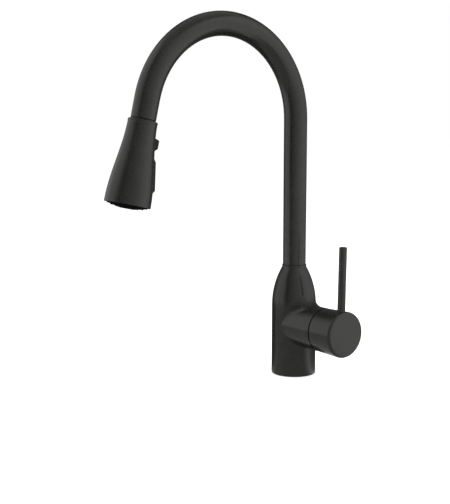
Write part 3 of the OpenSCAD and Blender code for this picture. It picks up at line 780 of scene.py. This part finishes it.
@dataclass
class FlutedNut:
    """The round lock nut, with grip flutes round its rim and its two screw holes."""

    radius: float = 27.0 * MM
    bore: float = 16.6 * MM
    flute: float = 1.5 * MM
    flutes: int = 12
    flute_share: float = 0.30
    height: float = 12.0 * MM
    top: float = -45.5 * MM
    chamfer: float = 0.8 * MM
    screw_ring: float = 21.75 * MM
    screw_bore: float = 2.6 * MM
    screw_sides: int = 24
    sides: int = 144

    def _rim(self, angle: float, inset: float) -> float:
        """Cuts the flutes.

        Args:
            angle: the angle round the axis.
            inset: how far the rim is chamfered there.

        Returns:
            The rim's radius: a scallop for each flute.
        """
        share = (angle * self.flutes / FULL_TURN) % 1.0
        cut = max(0.0, 1.0 - ((share - 0.5) / self.flute_share) ** 2)
        return self.radius - inset - self.flute * math.sqrt(cut)

    def _blank(self) -> Piece:
        """Makes the nut without its screw holes.

        Returns:
            The nut, which rides on nothing yet.
        """
        skin = Skin("fluted_lock_nut")
        low, edge = self.top - self.height, self.chamfer
        rim = ((low, edge), (low + edge, 0.0), (self.top - edge, 0.0), (self.top, edge))
        bore = ((self.top, self.bore + edge), (self.top - edge, self.bore), (low + edge, self.bore))
        angles = around(self.sides, 0.5)
        rings = [skin.ring([spoke(a, self.bore + edge, low) for a in angles])]
        rings += [skin.ring([spoke(a, self._rim(a, inset), height) for a in angles])
                  for height, inset in rim]
        rings += [skin.ring([spoke(a, radius, height) for a in angles]) for height, radius in bore]
        skin.wrap(rings, closed=True)
        return skin.done(Finishes.BRASS, "")

    def _drill(self, nut: Piece) -> None:
        """Cuts the two screw holes.

        Args:
            nut: the nut, whose mesh is replaced by the drilled one.
        """
        drills = Skin("nut_drills")
        low, reach = self.top - self.height, self.height
        outline = [(0.0, -reach), (self.screw_bore, -reach), (self.screw_bore, reach), (0.0, reach)]
        for side in (-1, 1):
            place = Matrix.Translation((0, side * self.screw_ring, low + self.height / 2))
            drills.turn(outline, self.screw_sides, place, closed=False)
        tool = placed("nut_drills", drills.mesh())
        cut = nut.modifiers.new("Screw holes", "BOOLEAN")
        cut.operation, cut.solver, cut.object = "DIFFERENCE", "EXACT", tool
        whole = bpy.data.meshes.new_from_object(nut.evaluated_get(bpy.context.evaluated_depsgraph_get()))
        nut.modifiers.clear()
        nut.data = whole
        whole.set_sharp_from_angle(angle=math.radians(SHARP_EDGE))
        bpy.data.meshes.remove(tool.data)

    def build(self) -> None:
        """Makes the nut and drills it."""
        nut = self._blank()
        self._drill(nut)
        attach(nut, "lock_nut")
        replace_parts(nut, "lock_nut")


# ---- The hose --------------------------------------------------------------------------

Section = tuple[Vector, Vector, float]


@dataclass
class PullHose:
    """The braided hose that runs up inside the gooseneck and is drawn out with the spray head.

    A section is a ring's centre, its direction along the hose, and the metres of hose up to it.
    """

    radius: float = 5.5 * MM
    low: float = -52.0 * MM
    rise: float = 311.8 * MM
    bend: float = 108.4 * MM
    sweep: float = math.radians(166.54)
    tail: float = 9.7 * MM
    travel: float = 0.45
    sides: int = 24
    riser_rings: int = 32
    bend_rings: int = 64
    tail_rings: int = 28
    soft_edge: float = 80.0

    def _bend_point(self, angle: float) -> Vector:
        """Returns the point at an angle of the bend."""
        return Vector((0, self.bend * (math.cos(angle) - 1), self.rise + self.bend * math.sin(angle)))

    def _bend_way(self, angle: float) -> Vector:
        """Returns the direction along the hose at an angle of the bend."""
        return Vector((0, -math.sin(angle), math.cos(angle)))

    def _sections(self) -> list[Section]:
        """Lays out the hose.

        Returns:
            Its sections, from the lower end to the spray head.
        """
        riser = self.rise - self.low
        sections = []
        for i in range(self.riser_rings):
            z = self.low + riser * i / self.riser_rings
            sections.append((Vector((0, 0, z)), Vector((0, 0, 1)), z - self.low))
        for i in range(self.bend_rings):
            a = self.sweep * i / self.bend_rings
            sections.append((self._bend_point(a), self._bend_way(a), riser + self.bend * a))
        length = riser + self.bend * self.sweep
        end, way = self._bend_point(self.sweep), self._bend_way(self.sweep)
        for i in range(self.tail_rings + 1):
            share = i / self.tail_rings
            drawn = share * share * (3 - 2 * share) * self.travel
            sections.append((end + way * share * self.tail, way, length + share * self.tail + drawn))
        return sections

    def _stretch(self, name: str, sections: Sequence[Section]) -> Piece:
        """Makes one stretch of the hose, with coordinates for the braid round and along it.

        Args:
            name: the piece's name.
            sections: its sections.

        Returns:
            The stretch, which rides on nothing yet.
        """
        skin = Skin(name)
        side = Vector((1, 0, 0))
        turns = around(self.sides) + [FULL_TURN]
        rings = [skin.ring([point + (side * math.cos(a) + way.cross(side) * math.sin(a)) * self.radius
                            for a in turns]) for point, way, _ in sections]
        place = skin.bm.loops.layers.uv.new("along")
        for k in range(len(rings) - 1):
            for i in range(self.sides):
                spots = ((i, k), (i + 1, k), (i + 1, k + 1), (i, k + 1))
                face = skin.bm.faces.new([rings[along][across] for across, along in spots])
                for loop, (across, along) in zip(face.loops, spots):
                    loop[place].uv = (across / self.sides, sections[along][2])
        return skin.done(Finishes.SLEEVE, "", sharp=self.soft_edge)

    def build(self) -> None:
        """Makes the hose in the gooseneck, and the short stretch past the bend, which stays where it is
        built.
        """
        sections = self._sections()
        split = len(sections) - 1 - self.tail_rings
        inside = self._stretch("braided_hose", sections[:split + 1])
        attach(inside, "spout")
        drawn = self._stretch("braided_hose_drawn", sections[split:])
        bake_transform(drawn)
        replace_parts(inside, "pull_hose")


# ---- The spray face --------------------------------------------------------------------


@dataclass
class SprayTips:
    """The open tips of the rubber nozzles, and the honeycomb in the aerator's mouth.

    Depths run down the head from the gooseneck's end. A tip's outline pairs its radius with its
    height over the face, and a cell's bands pair a share of the cell with a depth from the mouth.
    """

    start: Vector = field(default_factory=lambda: Vector((0, -213.80 * MM, 337.01 * MM)))
    sweep: float = math.radians(166.54)
    edge: float = 118.6 * MM
    rise: float = 3.0 * MM
    rings: tuple[tuple[float, int], ...] = ((12.2 * MM, 16), (17.4 * MM, 24))
    tip: Pairs = (
        (0.80 * MM, -0.05 * MM), (0.76 * MM, 0.42 * MM), (0.66 * MM, 0.56 * MM), (0.50 * MM, 0.60 * MM),
        (0.36 * MM, 0.52 * MM), (0.30 * MM, 0.10 * MM), (0.0, 0.10 * MM))
    tip_sides: int = 14
    mouth: float = 121.6 * MM
    mouth_radius: float = 9.2 * MM
    mouth_sides: int = 64
    lip: float = 1.2 * MM
    round_off: float = 0.3 * MM
    rim_depth: float = 2.4 * MM
    floor_depth: float = 2.2 * MM
    overlap: float = 0.1 * MM
    cell: float = 1.05 * MM
    cell_bands: Pairs = ((1.155, -0.6), (0.93, -0.6), (0.90, -2.2))
    cell_rows: int = 9

    @property
    def place(self) -> Matrix:
        """The frame of the head.

        Returns:
            The matrix whose third axis runs down the head.
        """
        a = self.sweep
        down = Vector((0, -math.sin(a), math.cos(a)))
        out = Vector((0, math.cos(a), math.sin(a)))
        turned = Matrix((Vector((1, 0, 0)), out, down)).transposed().to_4x4()
        return Matrix.Translation(self.start) @ turned

    def tips(self) -> None:
        """Makes a hollow rounded tip on each nozzle."""
        low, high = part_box("spray_face")
        face = (high[0] - low[0]) / 2
        dome = (face * face + self.rise * self.rise) / (2 * self.rise)
        skin = Skin("nozzle_tips")
        for radius, count in self.rings:
            lift = self.edge + math.sqrt(dome * dome - radius * radius) - (dome - self.rise)
            out = Matrix.Translation((radius, 0, lift))
            for angle in around(count):
                spot = self.place @ Matrix.Rotation(angle, 4, "Z") @ out
                skin.turn(self.tip, self.tip_sides, spot, closed=False)
        # The tips take the rubber that is darkened as painted shade.
        skin.done(Finishes.NOZZLE_RUBBER_AND_PAINTED_SHADE, "spray_head")

    def _cells(self) -> list[Vector]:
        """Lays out the honeycomb.

        Returns:
            The middle of each cell that fits in the rim.
        """
        step = 2 * self.cell
        reach = self.mouth_radius - self.lip - 0.5 * self.cell
        span = range(-self.cell_rows, self.cell_rows + 1)
        spots = [Vector(((column + 0.5 * (row % 2)) * step, row * step * math.sin(math.pi / 3), 0))
                 for row in span for column in span]
        return [spot for spot in spots if spot.length <= reach]

    def honeycomb(self) -> None:
        """Makes the aerator's mouth: a rounded rim with a honeycomb that straightens the flow."""
        skin = Skin("aerator_mouth")
        rim, depth = self.mouth_radius, self.mouth
        inner, soft = rim - self.lip, self.round_off
        skin.turn([(rim, depth - self.rim_depth), (rim, depth - soft), (rim - soft, depth),
                   (inner + soft, depth), (inner, depth - soft), (inner, depth - self.rim_depth)],
                  self.mouth_sides, self.place)
        skin.turn([(0.0, depth - self.floor_depth), (inner + self.overlap, depth - self.floor_depth)],
                  self.mouth_sides, self.place, closed=False)
        hexagon = [math.pi / 6 + math.pi / 3 * i for i in range(6)]
        for spot in self._cells():
            bands = []
            for share, height in self.cell_bands:
                down = Vector((0, 0, depth + height * MM))
                bands.append(skin.ring([
                    self.place @ (spot + Vector((math.cos(a), math.sin(a), 0)) * share * self.cell + down)
                    for a in hexagon]))
            skin.wrap(bands)
        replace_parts(skin.done(Finishes.DARK_TRIM, "spray_head"), "aerator")

    def build(self) -> None:
        """Makes the tips and the aerator's mouth."""
        self.tips()
        self.honeycomb()


# ---- Inside the head -------------------------------------------------------------------


@dataclass
class PauseSpring:
    """The small coil spring behind the pause button; the real one shortens as the button goes in, and this
    one keeps its length.
    """

    axis: Vector = field(default_factory=lambda: Vector((0, -0.972533, 0.232766)))
    middle: Vector = field(default_factory=lambda: Vector((0, -221.77 * MM, 289.01 * MM)))
    length: float = 4.8 * MM
    coil: float = 2.05 * MM
    wire: float = 0.35 * MM
    turns: int = 5
    closed_pitch: float = 0.72 * MM
    travel: float = 1.5 * MM
    sides: int = 10
    steps: int = 28
    soft_edge: float = 50.0

    def _rise(self, turn: float) -> float:
        """Winds the wire; the first and the last turn lie closed.

        Args:
            turn: the number of turns so far.

        Returns:
            The wire's height there, in metres.
        """
        span = self.length - 2 * self.wire
        open_pitch = (span - 2 * self.closed_pitch) / (self.turns - 2)
        if turn < 1:
            return turn * self.closed_pitch
        if turn > self.turns - 1:
            return span - (self.turns - turn) * self.closed_pitch
        return self.closed_pitch + (turn - 1) * open_pitch

    def build(self) -> None:
        """Makes the coil."""
        skin = Skin("pause_coil")
        across = Vector((1, 0, 0))
        up = self.axis.cross(across)
        start = self.middle - self.axis * (self.length / 2 - self.wire)
        rings = []
        for i in range(self.turns * self.steps + 1):
            turn = i / self.steps
            out = across * math.cos(FULL_TURN * turn) + up * math.sin(FULL_TURN * turn)
            spot = start + out * self.coil + self.axis * self._rise(turn)
            rings.append(skin.ring([spot + (out * math.cos(a) + self.axis * math.sin(a)) * self.wire
                                    for a in around(self.sides)]))
        skin.wrap(rings)
        skin.bm.faces.new(rings[0])
        skin.bm.faces.new(rings[-1])
        coil = skin.done(Finishes.STEEL, "spray_head", sharp=self.soft_edge)
        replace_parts(coil, "pause_spring")
        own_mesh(coil)


# ---- Studio ----------------------------------------------------------------------------


@dataclass
class Camera:
    """The camera, placed by its direction from the point that it looks at."""

    azimuth: float = math.radians(52.13)
    elevation: float = math.radians(8.086)
    distance: float = 1.31396
    height: float = 0.15034
    aside: float = -0.08493
    lens: float = 76.67
    sensor: float = 36.0
    far: float = 20.0

    @property
    def right(self) -> Vector:
        """Returns the direction to the camera's right."""
        return Vector((math.cos(self.azimuth), math.sin(self.azimuth), 0.0))

    @property
    def back(self) -> Vector:
        """The side that the camera stands on.

        Returns:
            The direction from the scene to the camera.
        """
        flat = math.cos(self.elevation)
        return Vector((math.sin(self.azimuth) * flat, -math.cos(self.azimuth) * flat,
                       math.sin(self.elevation)))

    @property
    def front(self) -> Vector:
        """Returns the level direction from the faucet to the camera's side."""
        return Vector((self.back.x, self.back.y, 0)).normalized()

    def build(self) -> None:
        """Adds the camera to the scene."""
        data = bpy.data.cameras.new("Camera")
        data.lens, data.sensor_width, data.clip_end = self.lens, self.sensor, self.far
        camera = placed("Camera", data)
        camera.location = Vector((0, 0, self.height)) + self.right * self.aside + self.back * self.distance
        camera.rotation_euler = (-self.back).to_track_quat("-Z", "Y").to_euler()
        bpy.context.scene.camera = camera


@dataclass(frozen=True)
class SoftBox:
    """A soft box behind the tent: full between two bearings, with a fade before and after."""

    first: float
    last: float
    fade_in: float
    fade_out: float
    glow: float

    def at(self, bearing: float) -> float:
        """Reads the glow that it gives the cloth.

        Args:
            bearing: in degrees, from -180 to 180.

        Returns:
            The glow there, where 1 is white.
        """
        before = 1 - (self.first - bearing) / self.fade_in
        after = 1 - (bearing - self.last) / self.fade_out
        return self.glow * max(0.0, min(1.0, before, after))


@dataclass(frozen=True)
class Cloth:
    """A stretch of the tent's cloth: dim all round, and bright where soft boxes light it."""

    dim: float
    boxes: tuple[SoftBox, ...] = ()

    def at(self, bearing: float) -> float:
        """Returns its glow at a bearing."""
        return self.dim + sum(box.at(bearing) for box in self.boxes)


@dataclass
class Tent:
    """A reflector tent that only reflections see: floor cloth, wall and ceiling.

    Bearings are in degrees round the riser: 0 towards the camera, more to its right. One soft box
    lights the wall from the left and a wider one from the right, and the floor cloth is bright in
    front, most of all below the right one. Lengths are in metres.
    """

    wall: float = 0.60
    top: float = 1.10
    cloth_hole: float = 0.03
    hem: float = 0.002
    slope: float = 0.05
    ceiling_hole: float = 0.01
    steps: int = 120
    ground: Cloth = Cloth(0.05, (SoftBox(-100, 80, 20, 50, 0.4), SoftBox(70, 75, 25, 15, 0.7)))
    side: Cloth = Cloth(0.1, (SoftBox(-105, -65, 30, 20, 0.8), SoftBox(55, 85, 100, 60, 1.0)))
    ceiling: Cloth = Cloth(0.4)

    def _mesh(self, camera: Camera) -> bpy.types.Mesh:
        """Makes the tent's mesh, with the glow as a value of its points.

        Args:
            camera: gives the direction that bearings start from.

        Returns:
            The mesh.
        """
        mesh = bpy.data.meshes.new("Tent")
        bm = bmesh.new()
        glow = bm.verts.layers.float.new("glow")
        rings = (
            (self.cloth_hole, 0.0, self.ground), (self.wall - self.hem, 0.0, self.ground),
            (self.wall, self.hem, self.side), (self.wall, self.top, self.side),
            (self.wall - self.slope, self.top, self.ceiling), (self.ceiling_hole, self.top, self.ceiling))
        grid = []
        for radius, height, cloth in rings:
            row = []
            for i in range(self.steps):
                bearing = -180 + 360 * i / self.steps
                turn = math.radians(bearing)
                way = camera.front * math.cos(turn) + camera.right * math.sin(turn)
                vert = bm.verts.new(way * radius + Vector((0, 0, height)))
                vert[glow] = cloth.at(bearing)
                row.append(vert)
            grid.append(row)
        for low, high in zip(grid, grid[1:]):
            for i in range(self.steps):
                j = (i + 1) % self.steps
                bm.faces.new((low[i], low[j], high[j], high[i]))
        bm.to_mesh(mesh)
        bm.free()
        return mesh

    def build(self, camera: Camera) -> None:
        """Puts the tent round the faucet.

        Args:
            camera: gives the direction that bearings start from.
        """
        tent = placed("Tent", self._mesh(camera))
        tent.visible_camera = tent.visible_diffuse = False
        tent.visible_shadow = tent.visible_transmission = False
        made, graph = Graph.of_material("Tent cloth")
        light = graph.add("ShaderNodeEmission")
        glow = graph.add("ShaderNodeAttribute", attribute_name="glow")
        graph.join(glow.outputs["Fac"], light.inputs["Strength"])
        graph.show(light)
        tent.data.materials.append(made)


@dataclass(frozen=True)
class Lamp:
    """A soft square lamp that faces the faucet, and that reflections don't see.

    Its place is in metres right of, behind and above the riser's foot, as the camera sees it. Size
    is its side, and power is in watts.
    """

    name: str
    place: tuple[float, float, float]
    size: float
    power: float

    AIM: ClassVar[tuple[float, float, float]] = (0, -0.05, 0.2)

    def build(self, camera: Camera) -> None:
        """Adds the lamp.

        Args:
            camera: gives the directions of its place.
        """
        data = bpy.data.lights.new(self.name, "AREA")
        data.size, data.energy = self.size, self.power
        lamp = placed(self.name, data)
        right, behind, above = self.place
        lamp.location = camera.right * right - camera.front * behind + Vector((0, 0, above))
        aim = Vector(self.AIM) - lamp.location
        lamp.rotation_euler = aim.to_track_quat("-Z", "Y").to_euler()
        lamp.visible_glossy = False


@dataclass
class Studio:
    """A pale floor, a white surround, soft lamps, and a tent that shapes the reflections."""

    camera: Camera
    tent: Tent = field(default_factory=Tent)
    lamps: tuple[Lamp, ...] = (
        Lamp("Lamp_left", (-1.6, -0.9, 1.6), 1.4, 22.0),
        Lamp("Lamp_right", (1.7, -0.4, 1.3), 1.4, 16.0),
        Lamp("Lamp_top", (0.0, 0.3, 2.3), 1.8, 20.0))
    floor_z: float = -0.0003
    floor_half: float = 6.0
    floor_colour: Colour = (0.82, 0.82, 0.82)
    floor_glow: float = 0.55
    world_light: float = 0.55
    world_white: float = 1.0

    def floor(self) -> None:
        """Makes the floor; it is white from above and clear from below."""
        mesh = bpy.data.meshes.new("Floor")
        bm = bmesh.new()
        bmesh.ops.create_grid(bm, x_segments=2, y_segments=2, size=self.floor_half)
        bmesh.ops.translate(bm, verts=bm.verts, vec=(0, 0, self.floor_z))
        bm.to_mesh(mesh)
        bm.free()
        made, graph = Graph.of_material("Pale floor")
        matte = graph.add("ShaderNodeBsdfDiffuse")
        graph.feed(matte.inputs["Color"], self.floor_colour)
        glow = graph.add("ShaderNodeEmission")
        graph.join(graph.math("MULTIPLY", graph.seen(), self.floor_glow), glow.inputs["Strength"])
        both = graph.add("ShaderNodeAddShader")
        clear = graph.add("ShaderNodeBsdfTransparent")
        mix = graph.add("ShaderNodeMixShader")
        below = graph.add("ShaderNodeNewGeometry").outputs["Backfacing"]
        for source, target in ((matte.outputs[0], both.inputs[0]), (glow.outputs[0], both.inputs[1]),
                               (below, mix.inputs[0]), (both.outputs[0], mix.inputs[1]),
                               (clear.outputs[0], mix.inputs[2])):
            graph.join(source, target)
        graph.show(mix)
        mesh.materials.append(made)
        placed("Floor", mesh)

    def surround(self) -> None:
        """Makes the world white to the camera and reflections, and softer as light."""
        world = bpy.data.worlds.new("Surround")
        bpy.context.scene.world = world
        world.use_nodes = True
        graph = Graph(world.node_tree)
        back = graph.add("ShaderNodeBackground")
        graph.feed(back.inputs["Color"], (1.0, 1.0, 1.0))
        strength = graph.spread(graph.seen(), 0.0, 1.0, self.world_light, self.world_white)
        graph.join(strength, back.inputs["Strength"])
        graph.show(back, "ShaderNodeOutputWorld")

    def build(self) -> None:
        """Builds the whole studio."""
        self.camera.build()
        self.floor()
        self.surround()
        for lamp in self.lamps:
            lamp.build(self.camera)
        self.tent.build(self.camera)
        bpy.context.scene.view_settings.view_transform = "Standard"
        LOG.info("studio built")


def main() -> None:
    """Builds the faucet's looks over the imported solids."""
    logging.basicConfig(level=logging.INFO, format="%(message)s")
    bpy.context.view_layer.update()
    Studio(Camera()).build()
    for part in (CarriedSolids(), ThreadedShank(), FlutedNut(), PullHose(), SprayTips(), PauseSpring()):
        part.build()


if __name__ == "__main__":
    main()
